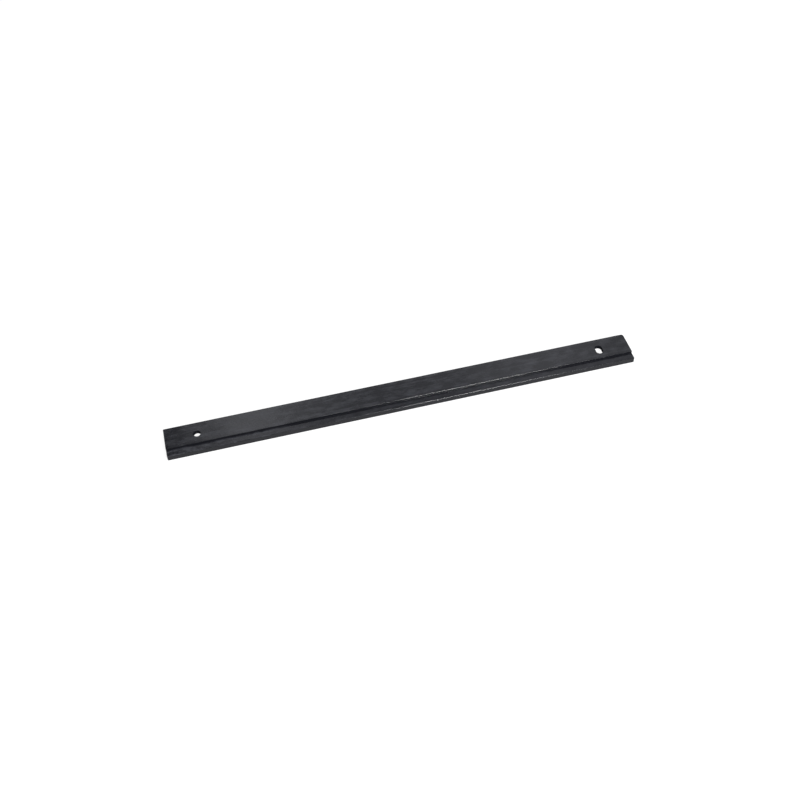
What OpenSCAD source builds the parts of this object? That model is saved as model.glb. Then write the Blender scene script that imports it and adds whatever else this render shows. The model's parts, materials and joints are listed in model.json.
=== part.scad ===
// Wear bar for the bottom edge of a light snow plow blade or snow thrower.
// It is one stepped bar of the same section all along, cut square at both ends,
// with a round bolt hole near one end and a slot across the bar near the other.
// The thin web is bolted under the housing, whose edge butts against the shoulder
// below the web, and the thick rib in front of it scrapes along the ground.
//
// The bar lies flat, as it is stored: +X runs along it, -Y points to the wear edge
// and +Z is up. The origin is the middle of its footprint, on the wear face.

/* [Bar] */
// Length from end to end
bar_length = 520; // [200:5:1500]
// Width of the web, from the step to the mounting edge
web_width = 27.9; // [24:0.1:60]
// Thickness of the web
web_thickness = 4.5; // [3:0.1:5.5]

/* [Wear rib] */
// Depth of the lip that shows in front of the web
lip_depth = 8.3; // [4:0.1:30]
// Height of the lip above the wear face
lip_height = 6.8; // [5:0.1:12]
// Height of the step from the lip up to the top of the web
step_height = 2.7; // [1.5:0.1:6]
// Thickness of the neck, from the step back to the shoulder below the web
neck_thickness = 3.8; // [3:0.1:6]

/* [Bolt holes] */
// Distance from each end of the bar to the middle of its hole
hole_inset = 34.6; // [12:0.1:90]
// Distance from the shoulder to the middle of each hole
hole_from_shoulder = 8.5; // [7.2:0.1:10]
// Diameter of the round hole
hole_d = 7.3; // [5:0.1:12]
// Width of the slot, measured along the bar
slot_width = 7.6; // [5:0.1:9.5]
// Length of the slot from end to end, measured across the bar
slot_length = 11.6; // [10:0.1:13]
// Chamfer on the rims of the hole and of the slot
rim_chamfer = 0.3; // [0.1:0.05:0.6]

/* [Edges] */
// Radius on the long outer edges
edge_radius = 0.6; // [0.2:0.05:1.5]
// Fillet in the two inside corners
root_radius = 0.6; // [0.2:0.05:1.5]
// Radius on three of the bar's corners, seen from above
corner_radius = 1; // [0.3:0.1:3]
// Radius on the mounting edge's corner beside the slot
slot_corner_radius = 3; // [0.5:0.1:8]

/* [Hidden] */

// How far a cutting tool runs past the face it cuts
past = 0.05;

bar_width = lip_depth + web_width;
shoulder = lip_depth + neck_thickness;
web_top = lip_height + step_height;
web_bottom = web_top - web_thickness;

// Places across the bar are measured from the wear edge, and the bar is centred last
hole_y = shoulder + hole_from_shoulder;
hole_x = bar_length / 2 - hole_inset;

// The fillets never take more than half of the wall they are on
edge_r = min(edge_radius, step_height / 2, web_thickness / 2);
root_r = min(root_radius, step_height / 2, web_bottom / 2);

// What is left between a corner and its rounding arc. It is added to fill an inside
// corner and taken away to round an outside one. side points from the corner to the
// middle of the arc, as [-1 or 1, -1 or 1].
module corner_piece(corner, side, r) {
    translate(corner) turn_to(side)
        difference() {
            translate([-past, -past]) square(r + past);
            translate([r, r]) circle(r = r, $fn = 64);
        }
}

// Mirrors what it is given so that its +X and +Y point to the given side
module turn_to(side) {
    mirror([side[0] < 0 ? 1 : 0, 0]) mirror([0, side[1] < 0 ? 1 : 0]) children();
}

// The bar's section, with X from the wear edge to the mounting edge and Y up
module section() {
    difference() {
        union() {
            polygon([
                [0, 0],
                [shoulder, 0],
                [shoulder, web_bottom],
                [bar_width, web_bottom],
                [bar_width, web_top],
                [lip_depth, web_top],
                [lip_depth, lip_height],
                [0, lip_height],
            ]);
            corner_piece([lip_depth, lip_height], [-1, 1], root_r);
            corner_piece([shoulder, web_bottom], [1, -1], root_r);
        }
        corner_piece([0, 0], [1, 1], edge_r);
        corner_piece([shoulder, 0], [-1, 1], edge_r);
        corner_piece([bar_width, web_bottom], [-1, 1], edge_r);
        corner_piece([bar_width, web_top], [-1, -1], edge_r);
        corner_piece([lip_depth, web_top], [1, -1], edge_r);
        corner_piece([0, lip_height], [1, -1], edge_r);
    }
}

// The full length of bar, before anything is cut from it
module blank() {
    rotate([90, 0, 90])
        linear_extrude(height = bar_length, center = true) section();
}

// Takes one corner of the bar off to a radius, seen from above
module corner_cut(end, edge_y, side_y, r) {
    translate([0, 0, -past])
        linear_extrude(height = web_top + 2 * past)
            corner_piece([end * bar_length / 2, edge_y], [-end, side_y], r);
}

// Half of the tool that cuts a hole through the web and chamfers both its rims
module rim_profile(r) {
    wide = r + rim_chamfer + past;
    polygon([
        [0, web_bottom - past],
        [wide, web_bottom - past],
        [r, web_bottom + rim_chamfer],
        [r, web_top - rim_chamfer],
        [wide, web_top + past],
        [0, web_top + past],
    ]);
}

// A hole through the web: round, or a slot across the bar where long is more than wide
module hole_cut(wide, long) {
    straight = long - wide;
    for (side = straight > 0 ? [-1, 1] : [0])
        translate([0, side * straight / 2, 0])
            rotate_extrude($fn = 96) rim_profile(wide / 2);
    if (straight > 0)
        rotate([90, 0, 0])
            linear_extrude(height = straight, center = true)
                for (side = [0, 1]) mirror([side, 0]) rim_profile(wide / 2);
}

module wear_bar() {
    color([0.17, 0.17, 0.19])
        translate([0, -bar_width / 2, 0])
            difference() {
                blank();
                corner_cut(-1, 0, 1, corner_radius);
                corner_cut(1, 0, 1, corner_radius);
                corner_cut(-1, bar_width, -1, corner_radius);
                corner_cut(1, bar_width, -1, slot_corner_radius);
                translate([-hole_x, hole_y, 0]) hole_cut(hole_d, hole_d);
                translate([hole_x, hole_y, 0]) hole_cut(slot_width, slot_length);
            }
}

wear_bar();
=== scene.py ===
"""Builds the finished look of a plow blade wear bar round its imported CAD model, with a plain studio."""

import json
import math

import bmesh
import bpy
from bpy.props import FloatProperty, FloatVectorProperty, IntProperty, PointerProperty
from bpy.types import Operator, Panel, PropertyGroup
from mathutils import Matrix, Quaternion, Vector


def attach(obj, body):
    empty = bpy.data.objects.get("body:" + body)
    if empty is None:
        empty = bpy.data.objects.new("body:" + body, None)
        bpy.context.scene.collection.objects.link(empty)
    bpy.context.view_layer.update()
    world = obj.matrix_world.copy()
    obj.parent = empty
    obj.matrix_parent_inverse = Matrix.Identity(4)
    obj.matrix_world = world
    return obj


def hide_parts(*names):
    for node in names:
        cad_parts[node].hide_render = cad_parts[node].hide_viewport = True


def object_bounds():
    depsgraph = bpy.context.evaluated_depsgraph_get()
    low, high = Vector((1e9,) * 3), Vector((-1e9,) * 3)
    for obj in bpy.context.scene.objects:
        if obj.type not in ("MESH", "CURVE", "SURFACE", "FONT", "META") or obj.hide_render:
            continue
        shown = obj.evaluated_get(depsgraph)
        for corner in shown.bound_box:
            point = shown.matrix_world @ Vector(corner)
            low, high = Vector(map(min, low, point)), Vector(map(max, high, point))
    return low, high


bl_info = {
    "name": "Plow blade wear bar",
    "version": (1, 0, 0),
    "blender": (4, 5, 0),
    "location": "View3D > Sidebar > Wear bar",
    "description": "Models a stepped plastic wear bar and the studio it is shown in",
    "category": "Object",
}

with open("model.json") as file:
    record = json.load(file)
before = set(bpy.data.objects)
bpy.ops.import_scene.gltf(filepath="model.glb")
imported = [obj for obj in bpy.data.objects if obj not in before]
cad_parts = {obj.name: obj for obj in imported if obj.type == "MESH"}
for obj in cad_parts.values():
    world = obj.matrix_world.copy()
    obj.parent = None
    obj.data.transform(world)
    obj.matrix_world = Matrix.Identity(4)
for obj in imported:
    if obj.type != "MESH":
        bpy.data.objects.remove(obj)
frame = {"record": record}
cad_low, cad_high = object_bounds()

MM = 0.001
MICRON = 0.000001
SHARP = math.radians(30)
HOLE_SIDES = 96
FLOOR_SIDE = 30
SENSOR_WIDTH = 36
BAR_NODE = "wear_bar"
MOUNTS = {mount["name"]: mount for mount in frame["record"]["mounts"]}


def mount_place(name):
    """Where a mount is, in metres."""
    return Vector(MOUNTS[name]["pos_m"])


def mount_size(name, size):
    """A size that a mount states in millimetres, in metres."""
    return MOUNTS[name]["dims"][size] * MM


def length(name, description, default):
    """A property that holds a length in metres."""
    return FloatProperty(
        name=name, description=description, default=default, min=0.0, unit="LENGTH", precision=5
    )


def share(name, description, default):
    """A property that holds a share from 0 to 1."""
    return FloatProperty(
        name=name, description=description, default=default, min=0.0, max=1.0, subtype="FACTOR"
    )


def colour(name, description, default):
    """A property that holds a colour."""
    return FloatVectorProperty(
        name=name, description=description, default=default, min=0.0, max=1.0, size=3, subtype="COLOR"
    )


# ---------------------------------------------------------------- settings


class BarShape(PropertyGroup):
    """Sizes of the bar that its frame doesn't state."""

    lip_depth: length("Lip depth", "From the wear edge back to the step", 8.3 * MM)
    lip_height: length("Lip height", "From the wear face up to the lip", 6.8 * MM)
    edge_radius: length("Edge radius", "Rounding of the edges and of the inside corners", 0.6 * MM)
    rim_radius: length("Rim radius", "Rounding on the rims of the bolt holes", 0.3 * MM)
    corner_radius: length("Corner radius", "Plan radius of three corners", 1 * MM)
    slot_corner_radius: length("Slot corner radius", "Plan radius of the corner by the slot", 3 * MM)
    station_gap: length("Station gap", "Distance between the cuts along the bar", 5.3 * MM)
    waviness: length("Waviness", "How far the faces dip from true", 0.12 * MM)
    wave_length: length("Wave length", "How long the dips in the faces are", 45 * MM)
    corner_steps: IntProperty(
        name="Corner steps", description="Faces round each plan corner", default=8, min=2, max=24
    )
    edge_steps: IntProperty(
        name="Edge steps", description="Faces round each rounded edge", default=4, min=1, max=12
    )


class BarFinish(PropertyGroup):
    """Colours and sheen of the black plastic, and how much painted shade is mixed into it."""

    deep_colour: colour("Deep colour", "The plastic where it is cleanest", (0.0056, 0.0059, 0.0078))
    bloom_colour: colour("Bloom colour", "The plastic under its grey bloom", (0.034, 0.035, 0.041))
    sheen: share("Roughness", "Roughness of the clean plastic", 0.17)
    dulling: share("Dulling", "How much rougher the bloom makes it", 0.10)
    spread: share("Bloom", "How much bloom there is on the faces that look up", 0.12)
    mottle: FloatProperty(name="Mottle", description="How blotchy the bloom is", default=1.8, min=0)
    rub: share("Rub marks", "How pale the rub marks on the lip near the round hole are", 1.0)
    sink: length("Sink marks", "How deep the slow dents of the moulding are", 150 * MICRON)
    grain: length("Grain", "How deep the fine grain and the draw lines are", 4 * MICRON)
    saw: length("Saw marks", "How deep the saw marks on the ends are", 20 * MICRON)
    # The two shares below are painted shade: a matte black mixed into the step's face and into the lip's
    # top and front, where it stands in for shade.
    step_shade_share: share("Step dullness", "How much of the step's face has lost its sheen", 0.6)
    lip_shade_share: share("Lip dullness", "How much of the lip's top and front has lost its sheen", 0.25)
    refraction: FloatProperty(
        name="Refraction", description="Index of refraction of the plastic", default=1.35, min=1.0
    )


class Studio(PropertyGroup):
    """The camera, the lights and the floor."""

    camera_place: FloatVectorProperty(
        name="Camera", description="Where the camera stands", default=(-0.17074, -0.73602, 0.86892),
        size=3, subtype="TRANSLATION",
    )
    aim: FloatVectorProperty(
        name="Aim", description="What the camera looks at", default=(-0.00634, -0.00588, 0.00475),
        size=3, subtype="TRANSLATION",
    )
    roll: FloatProperty(
        name="Roll", description="Turn of the camera about its line of sight",
        default=math.radians(-2.216), subtype="ANGLE",
    )
    lens: FloatProperty(name="Lens", description="Focal length in millimetres", default=47.47, min=10)
    floor_colour: colour("Floor", "Colour of the floor", (0.93, 0.93, 0.93))
    floor_glow: share("Floor glow", "How much the floor lights itself, which keeps shadows faint", 0.86)
    wall_colour: colour("Walls", "Colour of the room round the bar", (0.95, 0.96, 1.0))
    room_light: FloatProperty(name="Room", description="How bright the room is", default=0.78, min=0)
    lamp_gain: FloatProperty(
        name="Back lamps", description="How much brighter than the walls the back lamps are",
        default=6.2, min=1,
    )
    dark_colour: colour("Dark parts", "Colour of the dark parts of the room", (0.03, 0.03, 0.03))
    softbox_watts: FloatProperty(
        name="Softbox", description="Power of the softbox at the front right", default=44, min=0
    )
    softbox_size: length("Softbox size", "Side of the softbox", 0.34)
    softbox_place: FloatVectorProperty(
        name="Softbox place", description="Where the softbox hangs", default=(0.385, -1.05, 1.05),
        size=3, subtype="TRANSLATION",
    )
    softbox_aim: FloatVectorProperty(
        name="Softbox aim", description="What the softbox points at", default=(0.08, 0, 0),
        size=3, subtype="TRANSLATION",
    )


# ---------------------------------------------------------------- shader maths


class Value:
    """Wraps a socket so that arithmetic on it adds Math nodes."""

    def __init__(self, net, socket):
        self.net, self.socket = net, socket

    def maths(self, operation, *others):
        """A Math node on this value and the others."""
        return self.net.add("ShaderNodeMath", {"operation": operation}, dict(enumerate((self, *others))))

    def __add__(self, other):
        return self.maths("ADD", other)

    def __sub__(self, other):
        return self.maths("SUBTRACT", other)

    def __mul__(self, other):
        return self.maths("MULTIPLY", other)

    def __rsub__(self, other):
        return (self * -1) + other

    __radd__ = __add__
    __rmul__ = __mul__

    def steps(self, low, high):
        """Rises smoothly from 0 where this value is low to 1 where it is high."""
        return self.net.add(
            "ShaderNodeMapRange",
            {"interpolation_type": "SMOOTHSTEP"},
            {"Value": self, "From Min": low, "From Max": high},
        )


class Net:
    """Adds nodes to one node tree."""

    def __init__(self, tree):
        self.tree = tree
        tree.nodes.clear()

    def add(self, kind, settings=None, inputs=None, output=0):
        """A node of this type, with its settings and then its inputs, as the wrapped output."""
        node = self.tree.nodes.new(kind)
        for name, setting in (settings or {}).items():
            setattr(node, name, setting)
        for name, given in (inputs or {}).items():
            if isinstance(given, Value):
                self.tree.links.new(given.socket, node.inputs[name])
            else:
                node.inputs[name].default_value = given
        return Value(self, node.outputs[output]) if node.outputs else None

    def place(self):
        """The place on the piece, in metres."""
        return self.add("ShaderNodeTexCoord", output="Object")

    def parts(self, vector):
        """The X, Y and Z of a vector."""
        split = self.add("ShaderNodeSeparateXYZ", inputs={0: vector})
        return [Value(self, output) for output in split.socket.node.outputs]

    def scaled(self, vector, scale, shift=(0, 0, 0)):
        """A vector with each axis moved and stretched, which sets the cycles of a noise in a metre."""
        return self.add(
            "ShaderNodeMapping",
            {"vector_type": "POINT"},
            {"Vector": vector, "Location": shift, "Scale": scale},
        )

    def noise(self, vector, detail, rough=0.5):
        """Smooth noise from 0 to 1 at one cycle a unit."""
        return self.add(
            "ShaderNodeTexNoise",
            {"noise_dimensions": "3D", "normalize": True},
            {"Vector": vector, "Scale": 1.0, "Detail": detail, "Roughness": rough},
        )

    def mix(self, factor, low, high):
        """A colour between two colours."""
        return self.add(
            "ShaderNodeMix",
            {"data_type": "RGBA", "clamp_factor": True},
            {0: factor, 6: low, 7: high},
            output=2,
        )


def rgba(three):
    """A colour property as a shader colour."""
    return (*three, 1.0)


def new_material(name):
    """A material with an empty node tree and its net."""
    material = bpy.data.materials.new(name)
    material.use_nodes = True
    return material, Net(material.node_tree)


def in_hole(net, place, centre, run, radius):
    """Rises to 1 on the wall and rims of a hole, or of a slot whose ends are this far from its centre."""
    along, across, _ = net.parts(place)
    beyond = ((across - centre.y).maths("ABSOLUTE") - run).maths("MAXIMUM", 0.0)
    off = (along - centre.x).maths("POWER", 2.0) + beyond.maths("POWER", 2.0)
    return 1 - off.maths("SQRT").steps(radius + 0.25 * MM, radius + 0.40 * MM)


def at_lip_top(up, section):
    """Rises to 1 at the height of the lip's top."""
    top = section.lip_top
    return up.steps(top - 0.5 * MM, top - 0.2 * MM) * (1 - up.steps(top + 0.2 * MM, top + 0.6 * MM))


def bloom_on(net, place, section, finish):
    """How much bloom there is: blotches and streaks on what faces up, and rub marks on the lip."""
    along, _, up = net.parts(place)
    lip_top = at_lip_top(up, section)
    web_top = up.steps(section.high.z - 0.5 * MM, section.high.z - 0.2 * MM)
    blotches = net.noise(net.scaled(place, (60, 130, 130), (3, 1, 0)), detail=4, rough=0.65) - 0.5
    streaks = net.noise(net.scaled(place, (6, 420, 420)), detail=3, rough=0.6) - 0.5
    uneven = (blotches + streaks * 0.5) * finish.mottle + finish.spread
    rubbed = net.noise(net.scaled(place, (70, 150, 0), (2, 7, 3)), detail=3, rough=0.6).steps(0.45, 0.6)
    near_hole = 1 - along.steps(section.hole.x + 40 * MM, section.hole.x + 120 * MM)
    return (lip_top + web_top) * uneven + lip_top * rubbed * near_hole * finish.rub


def surface_height(net, place, section, finish):
    """The fine shape of the surface: grain, draw lines and dents, with saw marks on the two ends."""
    along, _, _ = net.parts(place)
    dents = net.noise(net.scaled(place, (40, 70, 70), (1, 5, 0)), detail=2, rough=0.45)
    grain = net.noise(net.scaled(place, (2600, 2600, 2600)), detail=1.5)
    draw_lines = net.noise(net.scaled(place, (7, 1500, 1500)), detail=2, rough=0.6)
    saw_lines = net.noise(net.scaled(place, (0, 260, 2600)), detail=2, rough=0.6)
    ends = along.maths("ABSOLUTE").steps(section.high.x - 0.5 * MM, section.high.x - 0.2 * MM)
    drawn = (draw_lines + grain) * finish.grain + dents * finish.sink
    return drawn * (1 - ends) + saw_lines * ends * finish.saw


def painted_shade(net, place, section, finish):
    """How much painted shade there is: a matte black mix that stands in for shade, all of it in the
    holes, and some on the step's face and on the lip.
    """
    _, across, up = net.parts(place)
    front, step, lip_top, web_top = section.low.y, section.step_y, section.lip_top, section.high.z
    # Painted shade in the holes: their walls and rims are made matte black, as the shade under the web
    # would make them.
    shade_in_holes = in_hole(net, place, section.hole, 0.0, section.hole_radius) + in_hole(
        net, place, section.slot, section.slot_run, section.slot_radius
    )
    # Painted shade on the step's face, in the corner under the web's edge.
    step_shade = (
        across.steps(step - 0.7 * MM, step - 0.4 * MM)
        * (1 - across.steps(step + 0.1 * MM, step + 0.3 * MM))
        * (1 - up.steps(web_top - 0.8 * MM, web_top - 0.5 * MM))
        * up.steps(lip_top - 0.2 * MM, lip_top)
    )
    # Painted shade on the lip's top and front, which stands in for the dark things these faces reflect.
    lip_front = (1 - across.steps(front + 0.15 * MM, front + 0.30 * MM)) * (
        1 - up.steps(lip_top - 0.9 * MM, lip_top - 0.6 * MM)
    )
    lip_shade = at_lip_top(up, section) * across.steps(front + 0.5 * MM, front + 0.9 * MM) + lip_front
    return shade_in_holes + step_shade * finish.step_shade_share + lip_shade * finish.lip_shade_share


def black_plastic(finish, section):
    """Black satin plastic, drawn through a die and sawn at its ends, with grey bloom on what faces up,
    and painted shade, a matte black, in the holes, on the step's face and on the lip.
    """
    material, net = new_material("black_plastic")
    place = net.place()
    bloom = bloom_on(net, place, section, finish)
    height = surface_height(net, place, section, finish)
    satin = net.add(
        "ShaderNodeBsdfPrincipled",
        inputs={
            "Base Color": net.mix(bloom, rgba(finish.deep_colour), rgba(finish.bloom_colour)),
            "Roughness": bloom.maths("MAXIMUM", 0.0) * finish.dulling + finish.sheen,
            "Normal": net.add(
                "ShaderNodeBump", inputs={"Strength": 1.0, "Distance": 1.0, "Height": height}
            ),
            "IOR": finish.refraction,
        },
    )
    # Matte black that paints shade into the holes, onto the step's face and onto the lip.
    painted_shade_black = net.add(
        "ShaderNodeBsdfPrincipled",
        inputs={"Base Color": rgba(finish.deep_colour), "Roughness": 0.9, "Specular IOR Level": 0.02},
    )
    # Where the painted shade is mixed in, and how much.
    painted_shade_mix = painted_shade(net, place, section, finish)
    surface = net.add("ShaderNodeMixShader", inputs={0: painted_shade_mix, 1: satin, 2: painted_shade_black})
    net.add("ShaderNodeOutputMaterial", inputs={"Surface": surface})
    return material


def pale_floor(studio):
    """A pale floor that lights itself a little, as a lit sweep does."""
    material, net = new_material("pale_floor")
    shader = net.add(
        "ShaderNodeBsdfPrincipled",
        inputs={
            "Base Color": rgba([c * (1 - studio.floor_glow) for c in studio.floor_colour]),
            "Roughness": 0.9,
            "Specular IOR Level": 0.0,
            "Emission Color": rgba(studio.floor_colour),
            "Emission Strength": 1.0,
        },
    )
    net.add("ShaderNodeOutputMaterial", inputs={"Surface": shader})
    return material


# ---------------------------------------------------------------- modelling tools


def deselect_all():
    """Nothing is selected or active."""
    if bpy.context.object and bpy.context.object.mode != "OBJECT":
        bpy.ops.object.mode_set(mode="OBJECT")
    bpy.ops.object.select_all(action="DESELECT")


def new_block(name, low, high):
    """A box from one corner to the other."""
    deselect_all()
    low, high = Vector(low), Vector(high)
    bpy.ops.mesh.primitive_cube_add(size=1, location=(low + high) / 2)
    block = bpy.context.object
    block.name = block.data.name = name
    block.scale = high - low
    bpy.ops.object.transform_apply(location=True, rotation=True, scale=True)
    return block


def new_rod(name, centre, radius, depth, sides):
    """An upright round rod."""
    deselect_all()
    bpy.ops.mesh.primitive_cylinder_add(vertices=sides, radius=radius, depth=depth, location=centre)
    rod = bpy.context.object
    rod.name = rod.data.name = name
    bpy.ops.object.transform_apply(location=True, rotation=True, scale=True)
    return rod


def pick_faces(piece, wanted):
    """Leaves the piece in edit mode with only the wanted faces selected."""
    bpy.context.view_layer.objects.active = piece
    bpy.ops.object.mode_set(mode="EDIT")
    bpy.ops.mesh.select_mode(type="FACE")
    bpy.ops.mesh.select_all(action="DESELECT")
    bpy.ops.object.mode_set(mode="OBJECT")
    for face in piece.data.polygons:
        face.select = wanted(face)
    bpy.ops.object.mode_set(mode="EDIT")


def pick_edges(piece, wanted):
    """Leaves the piece in edit mode with only the edges selected whose two ends are wanted."""
    bpy.context.view_layer.objects.active = piece
    bpy.ops.object.mode_set(mode="EDIT")
    bpy.ops.mesh.select_mode(type="EDGE")
    bpy.ops.mesh.select_all(action="DESELECT")
    bpy.ops.object.mode_set(mode="OBJECT")
    spots = [vertex.co for vertex in piece.data.vertices]
    for edge in piece.data.edges:
        edge.select = wanted(*(spots[i] for i in edge.vertices))
    bpy.ops.object.mode_set(mode="EDIT")


def cut_across(point, normal):
    """Cuts the whole piece that is in edit mode by a plane and keeps both sides."""
    bpy.ops.mesh.select_all(action="SELECT")
    bpy.ops.mesh.bisect(plane_co=point, plane_no=normal)


def apply_modifier(piece, kind, **settings):
    """Adds a modifier with these settings and applies it."""
    deselect_all()
    piece.select_set(True)
    bpy.context.view_layer.objects.active = piece
    modifier = piece.modifiers.new(kind.title(), kind)
    for name, setting in settings.items():
        setattr(modifier, name, setting)
    bpy.ops.object.modifier_apply(modifier=modifier.name)


def near(a, b, gap=0.02 * MM):
    """Whether two lengths are the same."""
    return abs(a - b) < gap


# ---------------------------------------------------------------- the bar


class Section:
    """The bar's sizes, from its frame and its settings, in metres."""

    def __init__(self, shape):
        self.low, self.high = cad_low, cad_high
        self.step_y = self.low.y + shape.lip_depth
        self.lip_top = self.low.z + shape.lip_height
        self.shoulder_y = mount_place("shoulder_face").y
        self.web_low = mount_place("mounting_face").z
        self.hole = mount_place("bolt_hole")
        self.slot = mount_place("bolt_slot")
        self.hole_radius = mount_size("bolt_hole", "r_mm")
        self.slot_radius = mount_size("bolt_slot", "hole_r_mm")
        self.slot_run = mount_size("bolt_slot", "slot_length_mm") / 2 - self.slot_radius
        self.slot_low = self.slot.y - self.slot_run - self.slot_radius
        self.slot_high = self.slot.y + self.slot_run + self.slot_radius

    def rim_distance(self, spot):
        """How far a spot is, seen from above, from the wall of the nearer hole."""
        to_hole = math.hypot(spot.x - self.hole.x, spot.y - self.hole.y) - self.hole_radius
        beyond = max(abs(spot.y - self.slot.y) - self.slot_run, 0)
        to_slot = math.hypot(spot.x - self.slot.x, beyond) - self.slot_radius
        return min(abs(to_hole), abs(to_slot))


def stepped_blank(section):
    """The stepped bar with sharp edges: a neck, with the lip drawn forward and the web drawn back."""
    bar = new_block(
        "wear_bar_body",
        (section.low.x, section.step_y, section.low.z),
        (section.high.x, section.shoulder_y, section.high.z),
    )
    bpy.ops.object.mode_set(mode="EDIT")
    for height in (section.web_low, section.lip_top):
        cut_across((0, 0, height), (0, 0, 1))
    pick_faces(bar, lambda face: face.normal.y < -0.9 and face.center.z < section.lip_top)
    bpy.ops.mesh.extrude_region_move(
        TRANSFORM_OT_translate={"value": (0, section.low.y - section.step_y, 0)}
    )
    pick_faces(bar, lambda face: face.normal.y > 0.9 and face.center.z > section.web_low)
    bpy.ops.mesh.extrude_region_move(
        TRANSFORM_OT_translate={"value": (0, section.high.y - section.shoulder_y, 0)}
    )
    return bar


def round_corners(bar, section, shape):
    """Rounds the upright edges at the four corners of the bar."""
    corners = [
        (section.low.x, section.low.y, shape.corner_radius),
        (section.high.x, section.low.y, shape.corner_radius),
        (section.low.x, section.high.y, shape.corner_radius),
        (section.high.x, section.high.y, shape.slot_corner_radius),
    ]
    for x, y, radius in corners:
        pick_edges(
            bar, lambda a, b: all(near(spot.x, x) and near(spot.y, y) for spot in (a, b))
        )
        bpy.ops.mesh.bevel(
            offset=radius, offset_type="OFFSET", segments=shape.corner_steps, affect="EDGES",
            clamp_overlap=False,
        )


def cut_stations(bar, section, shape):
    """Cuts the bar at even stations, which pass through the middle of each hole."""
    between = section.slot.x - section.hole.x
    count = round(between / shape.station_gap)
    inner = [section.hole.x + between * i / count for i in range(count + 1)]
    tail = section.high.x - section.slot.x
    tail_count = int(tail / shape.station_gap)
    outer = [section.slot.x + tail * i / tail_count for i in range(1, tail_count)]
    bpy.ops.object.mode_set(mode="EDIT")
    for x in inner + outer + [-x for x in outer]:
        cut_across((x, 0, 0), (1, 0, 0))
    before_holes = (section.shoulder_y + section.slot_low) / 2
    behind_holes = (section.slot_high + section.high.y) / 2
    for y in (before_holes, behind_holes):
        cut_across((0, y, 0), (0, 1, 0))
    bpy.ops.object.mode_set(mode="OBJECT")


def slot_tool(section, depth):
    """An upright bar with round ends, which cuts the slot."""
    radius = section.slot_radius
    reach = Vector((radius, section.slot_run + radius, depth / 2))
    tool = new_block("slot_tool", section.slot - reach, section.slot + reach)
    pick_edges(tool, lambda a, b: near(a.x, b.x) and near(a.y, b.y))
    bpy.ops.mesh.bevel(
        offset=radius, offset_type="OFFSET", segments=HOLE_SIDES // 4, affect="EDGES", clamp_overlap=False
    )
    bpy.ops.mesh.select_all(action="SELECT")
    bpy.ops.mesh.remove_doubles(threshold=0.001 * MM)
    bpy.ops.object.mode_set(mode="OBJECT")
    return tool


def cut_hole(bar, tool):
    """Takes the tool's shape out of the bar."""
    apply_modifier(bar, "BOOLEAN", operation="DIFFERENCE", solver="EXACT", object=tool)
    bpy.data.objects.remove(tool)


def weigh_edges(bar, section, shape):
    """Sets how far each sharp edge is to be rounded, as a share of the edge radius."""
    mesh = bmesh.new()
    mesh.from_mesh(bar.data)
    weights = mesh.edges.layers.float.new("bevel_weight_edge")
    for edge in mesh.edges:
        if len(edge.link_faces) != 2 or edge.calc_face_angle() < SHARP:
            continue
        on_rim = all(section.rim_distance(vertex.co) < 0.05 * MM for vertex in edge.verts)
        edge[weights] = shape.rim_radius / shape.edge_radius if on_rim else 1.0
    mesh.to_mesh(bar.data)
    mesh.free()


def wave_faces(bar, shape):
    """Lets every face dip a little from true, never proud of it."""
    clouds = bpy.data.textures.new("face_waves", "CLOUDS")
    clouds.noise_scale = shape.wave_length
    clouds.noise_depth = 1
    apply_modifier(
        bar, "DISPLACE", texture=clouds, texture_coords="LOCAL", direction="NORMAL",
        mid_level=1.0, strength=shape.waviness,
    )


class WEARBAR_OT_bar(Operator):
    """Model the stepped wear bar"""

    bl_idname = "wearbar.bar"
    bl_label = "Wear bar"

    def execute(self, context):
        shape, finish = context.scene.wear_bar_shape, context.scene.wear_bar_finish
        section = Section(shape)
        bar = stepped_blank(section)
        round_corners(bar, section, shape)
        cut_stations(bar, section, shape)
        depth = 3 * (section.high.z - section.web_low)
        cut_hole(bar, new_rod("hole_tool", section.hole, section.hole_radius, depth, HOLE_SIDES))
        cut_hole(bar, slot_tool(section, depth))
        weigh_edges(bar, section, shape)
        wave_faces(bar, shape)
        apply_modifier(
            bar, "BEVEL", limit_method="WEIGHT", width=shape.edge_radius, segments=shape.edge_steps,
            use_clamp_overlap=False,
        )
        deselect_all()
        bar.select_set(True)
        context.view_layer.objects.active = bar
        bpy.ops.object.shade_smooth()
        apply_modifier(bar, "WEIGHTED_NORMAL", weight=50, keep_sharp=False)
        bar.data.materials.append(black_plastic(finish, section))
        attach(bar, "root")
        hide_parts(BAR_NODE)
        return {"FINISHED"}


# ---------------------------------------------------------------- the studio


def look_from(place, aim, roll):
    """The rotation of a camera or a light that stands at a place and looks at a point."""
    return (Vector(aim) - Vector(place)).to_track_quat("-Z", "Y") @ Quaternion((0, 0, 1), roll)


def add_camera(studio):
    """The camera."""
    data = bpy.data.cameras.new("camera")
    data.lens, data.sensor_width = studio.lens, SENSOR_WIDTH
    camera = bpy.data.objects.new("camera", data)
    camera.location = studio.camera_place
    camera.rotation_mode = "QUATERNION"
    camera.rotation_quaternion = look_from(studio.camera_place, studio.aim, studio.roll)
    bpy.context.scene.collection.objects.link(camera)
    bpy.context.scene.camera = camera


def add_softbox(studio):
    """The square softbox at the front right, which lights the bar's front edges."""
    data = bpy.data.lights.new("front_softbox", "AREA")
    data.shape, data.size, data.energy = "SQUARE", studio.softbox_size, studio.softbox_watts
    light = bpy.data.objects.new("front_softbox", data)
    light.location = studio.softbox_place
    light.rotation_mode = "QUATERNION"
    light.rotation_quaternion = look_from(studio.softbox_place, studio.softbox_aim, 0)
    bpy.context.scene.collection.objects.link(light)


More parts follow.
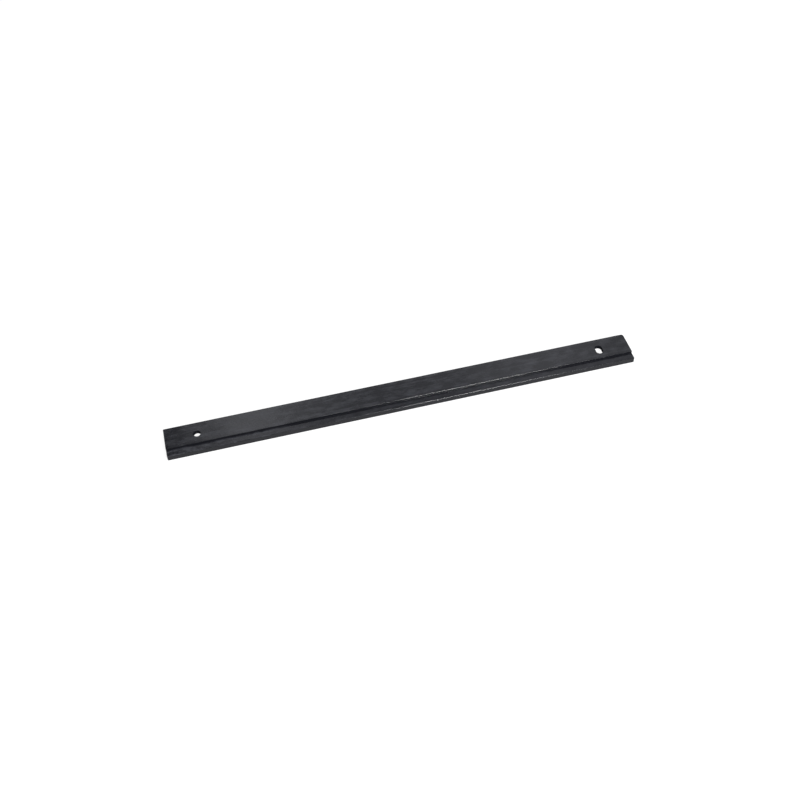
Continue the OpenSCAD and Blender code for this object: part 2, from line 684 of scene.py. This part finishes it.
def light_room(studio):
    """A pale room with two soft lamps and a dark doorway at the back, and dark above and in front."""
    world = bpy.data.worlds.new("studio_room")
    world.use_nodes = True
    net = Net(world.node_tree)
    # The three parts of each direction, from -1 to 1.
    side, away, up = net.parts(net.add("ShaderNodeTexCoord", output="Generated"))
    dark = (1 - away.steps(-0.30, 0.25)) * up.steps(0.20, 0.45)
    high = up.steps(0.45, 0.65)
    doorway = (1 - side.steps(-0.075, -0.02)) * away.steps(0.2, 0.5) * high
    near_lamp = (
        side.steps(-0.035, -0.012) - side.steps(-0.005, 0.015) * 0.5 - side.steps(0.03, 0.055) * 0.5
    )
    far_lamp = side.steps(0.17, 0.24) * (1 - side.steps(0.315, 0.35)) * 0.22
    lamps = (near_lamp + far_lamp) * (1 - dark) * high
    walls = net.mix(dark + doorway, rgba(studio.wall_colour), rgba(studio.dark_colour))
    light = net.mix(lamps, walls, rgba([c * studio.lamp_gain for c in studio.wall_colour]))
    background = net.add("ShaderNodeBackground", inputs={"Color": light, "Strength": studio.room_light})
    net.add("ShaderNodeOutputWorld", inputs={"Surface": background})
    bpy.context.scene.world = world


class WEARBAR_OT_studio(Operator):
    """Set up the floor, the lights and the camera"""

    bl_idname = "wearbar.studio"
    bl_label = "Studio"

    def execute(self, context):
        studio = context.scene.wear_bar_studio
        add_camera(studio)
        deselect_all()
        bpy.ops.mesh.primitive_plane_add(size=FLOOR_SIDE, location=(0, 0, cad_low.z))
        floor = context.object
        floor.name = "floor"
        floor.data.materials.append(pale_floor(studio))
        light_room(studio)
        add_softbox(studio)
        context.scene.view_settings.view_transform = "Standard"
        context.scene.view_settings.look = "None"
        return {"FINISHED"}


class WEARBAR_PT_panel(Panel):
    """Lists the pieces and their settings"""

    bl_idname = "WEARBAR_PT_panel"
    bl_label = "Wear bar"
    bl_space_type = "VIEW_3D"
    bl_region_type = "UI"
    bl_category = "Wear bar"

    def draw(self, context):
        for operator, group in (
            (WEARBAR_OT_bar, context.scene.wear_bar_shape),
            (None, context.scene.wear_bar_finish),
            (WEARBAR_OT_studio, context.scene.wear_bar_studio),
        ):
            box = self.layout.box()
            if operator:
                box.operator(operator.bl_idname)
            for name in group.__annotations__:
                box.prop(group, name)


CLASSES = (BarShape, BarFinish, Studio, WEARBAR_OT_bar, WEARBAR_OT_studio, WEARBAR_PT_panel)
GROUPS = {"wear_bar_shape": BarShape, "wear_bar_finish": BarFinish, "wear_bar_studio": Studio}


def register():
    for made in CLASSES:
        bpy.utils.register_class(made)
    for name, group in GROUPS.items():
        setattr(bpy.types.Scene, name, PointerProperty(type=group))


def unregister():
    for name in GROUPS:
        delattr(bpy.types.Scene, name)
    for made in reversed(CLASSES):
        bpy.utils.unregister_class(made)


def main():
    register()
    bpy.ops.wearbar.studio()
    bpy.ops.wearbar.bar()


if __name__ == "__main__":
    main()
